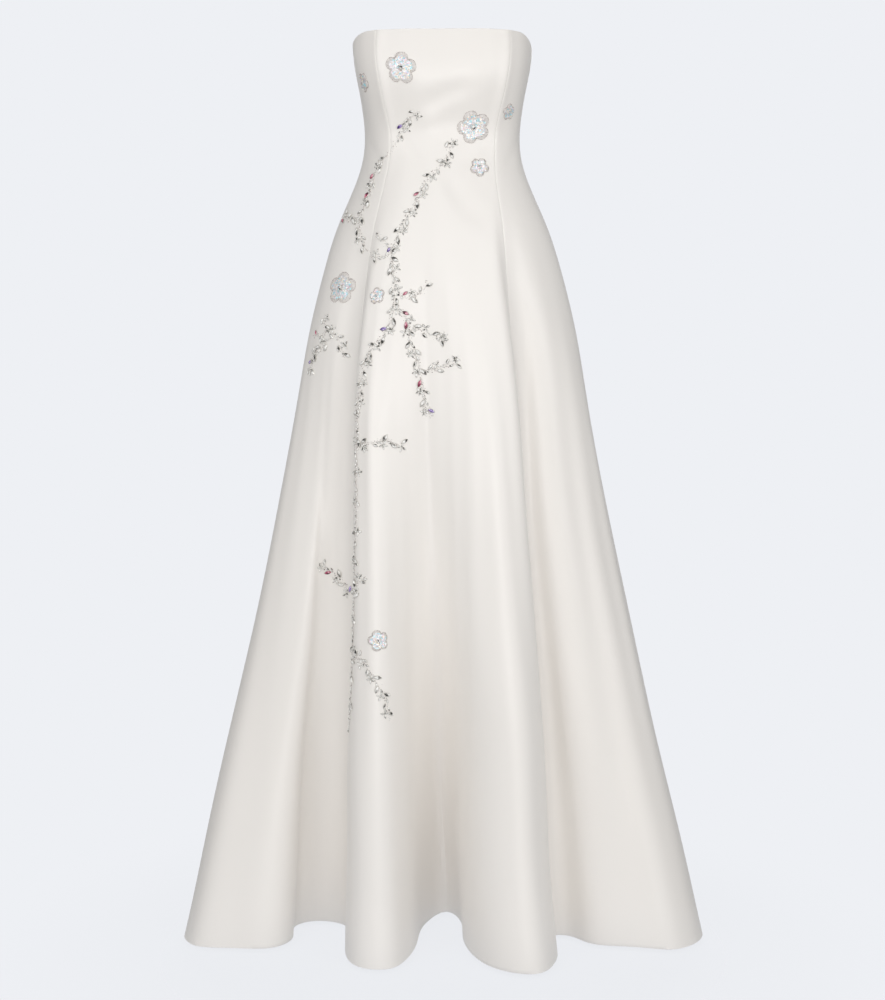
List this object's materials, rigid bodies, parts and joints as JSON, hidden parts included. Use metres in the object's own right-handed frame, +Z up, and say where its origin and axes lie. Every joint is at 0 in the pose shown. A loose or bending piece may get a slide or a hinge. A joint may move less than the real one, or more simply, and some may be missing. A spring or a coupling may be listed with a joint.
{
  "type": "strapless wedding gown",
  "caption": "Strapless floor-length ivory satin gown, hollow as worn, with a fitted bodice, an A-line skirt in deep folds, and crystal leaves and blossoms sewn on the front.",
  "frame": {"origin": "centre of the waist, where the wearer holds the gown up", "axes": "+Z up along the gown, -Y out of its front, +X to the wearer's left"},
  "size_m": [0.8375, 0.5187, 1.4073],
  "materials": {
    "ivory_satin": "heavy silk satin with a soft sheen",
    "zip_metal": "small polished zip slider and pull",
    "crystal": "faceted clear stones backed with foil",
    "coloured_crystal": "faceted pink and violet stones",
    "sequin": "iridescent cupped discs",
    "bead": "small silver-lined beads",
    "thread": "ivory sewing thread"
  },
  "bodies": {
    "gown": {"back_right": "ivory_satin", "side_back_right": "ivory_satin", "side_front_right": "ivory_satin", "front_centre": "ivory_satin", "side_front_left": "ivory_satin", "side_back_left": "ivory_satin", "back_left": "ivory_satin", "zip_slider": "zip_metal"},
    "zip_pull": {"zip_pull": "zip_metal"}
  },
  "joints": [
    {"name": "zip_pull_swing", "type": "hinge", "parent": "gown", "child": "zip_pull", "pos_m": [0, 0.10478, 0.11078], "axis": [1, 0, 0], "range_deg": [0, 160]}
  ]
}
